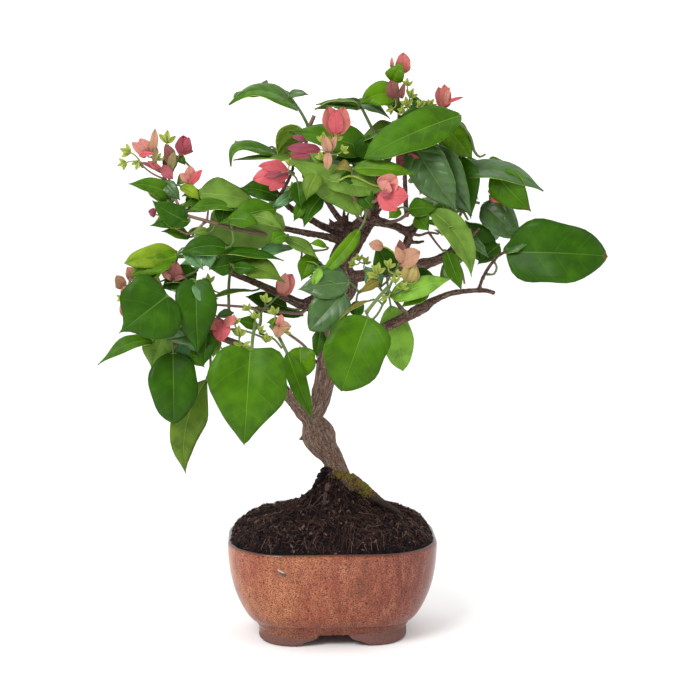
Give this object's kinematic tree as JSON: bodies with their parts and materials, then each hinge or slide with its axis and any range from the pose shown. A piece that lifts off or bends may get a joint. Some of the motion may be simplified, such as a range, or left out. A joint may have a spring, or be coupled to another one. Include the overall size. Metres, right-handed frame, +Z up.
{
  "type": "bougainvillea bonsai",
  "caption": "Small potted bonsai with a leaning, knotted trunk, spreading boughs, large heart-shaped leaves and papery coral bracts, in a glazed oval-cornered pot on low feet.",
  "frame": {"origin": "middle of the base of the whole object's box, on the surface that the pot's feet stand on", "axes": "+X to the right as the tree is seen from its front, +Y to its back, +Z up"},
  "size_m": [0.3646, 0.2314, 0.4175],
  "materials": {
    "glazed_stoneware": "speckled reddish-brown glaze, satin to glossy, bare clay feet",
    "root_ball_soil": "matt, crumbly and fibrous",
    "bark": "matt, fissured grey-brown bark",
    "green_wood": "smooth reddish to green young shoot",
    "foliage": "waxy mid-green leaves with coral, pink and cream bracts"
  },
  "bodies": {
    "root": {"bough_left_low": "bark", "bough_left_middle": "bark", "bough_left_upper_back": "bark", "bough_left_upper_front": "bark", "bough_right_low": "bark", "bough_right_middle": "bark", "bough_right_rising": "bark", "bough_right_upper": "bark", "bough_top": "bark", "bough_top_left": "bark", "foliage_arm_right": "foliage", "foliage_back_centre": "foliage", "foliage_back_left": "foliage", "foliage_back_low_left": "foliage", "foliage_back_low_right": "foliage", "foliage_back_right": "foliage", "foliage_behind_bough": "foliage", "foliage_blossom_left": "foliage", "foliage_blossom_top_right": "foliage", "foliage_centre_front": "foliage", "foliage_hanging_left": "foliage", "foliage_hanging_right": "foliage", "foliage_heart_leaf": "foliage", "foliage_inner_front": "foliage", "foliage_inner_left": "foliage", "foliage_inner_right": "foliage", "foliage_leaf_far_right": "foliage", "foliage_low_blossom": "foliage", "foliage_low_left": "foliage", "foliage_middle_right": "foliage", "foliage_pad_left": "foliage", "foliage_reach_left": "foliage", "foliage_shelf_left": "foliage", "foliage_shoulder_right": "foliage", "foliage_summit": "foliage", "foliage_tip_left": "foliage", "foliage_top_left": "foliage", "foliage_top_middle": "foliage", "foliage_trunk_front": "foliage", "foliage_trunk_inner": "foliage", "foliage_trunk_left": "foliage", "foliage_upper_centre": "foliage", "foliage_upper_right": "foliage", "pot": "glazed_stoneware", "shoot_centre_front": "green_wood", "shoot_far_right": "green_wood", "shoot_left_upright": "green_wood", "shoot_right_blossom": "green_wood", "shoot_top_left": "green_wood", "soil": "root_ball_soil", "stalk_heart_leaf": "green_wood", "stalk_trunk_front_leaf": "green_wood", "stalk_trunk_left_leaf": "green_wood", "surface_root_left": "bark", "surface_root_right": "bark", "trunk": "bark"}
  },
  "joints": []
}
